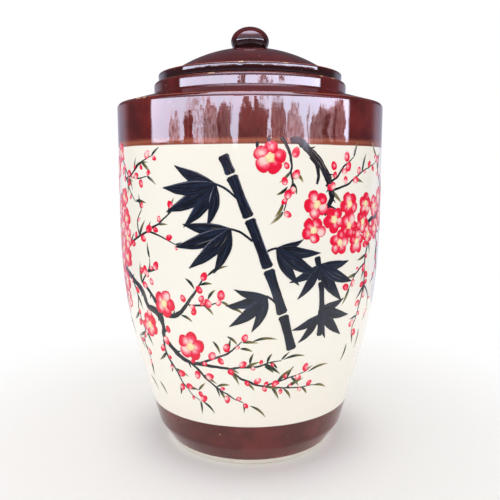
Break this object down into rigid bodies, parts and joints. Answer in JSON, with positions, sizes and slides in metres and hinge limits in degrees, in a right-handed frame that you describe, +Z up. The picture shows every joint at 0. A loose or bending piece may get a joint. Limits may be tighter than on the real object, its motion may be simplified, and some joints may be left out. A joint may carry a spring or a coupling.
{
  "type": "rice storage jar",
  "caption": "Tall glazed ceramic food jar with straight upper wall, tapering flank, thick collar and a loose domed lid with a ball knob.",
  "frame": {"origin": "centre of the foot ring, on the surface the jar stands on", "axes": "+Z up along the jar's axis of revolution; -Y faces the viewer of the painted front"},
  "size_m": [0.26, 0.26, 0.4142],
  "materials": {
    "ivory_glaze": "gloss",
    "brown_glaze": "gloss",
    "bare_clay": "matte",
    "blossom_enamel": "gloss",
    "leaf_enamel": "gloss",
    "ink_enamel": "gloss"
  },
  "bodies": {
    "jar": {"jar_body": "ivory_glaze"},
    "lid": {"lid": "brown_glaze", "lid_knob": "brown_glaze"}
  },
  "joints": [
    {"name": "lid_lift", "type": "slide", "parent": "jar", "child": "lid", "axis": [0, 0, 1], "range_m": [0, 0.15]}
  ]
}
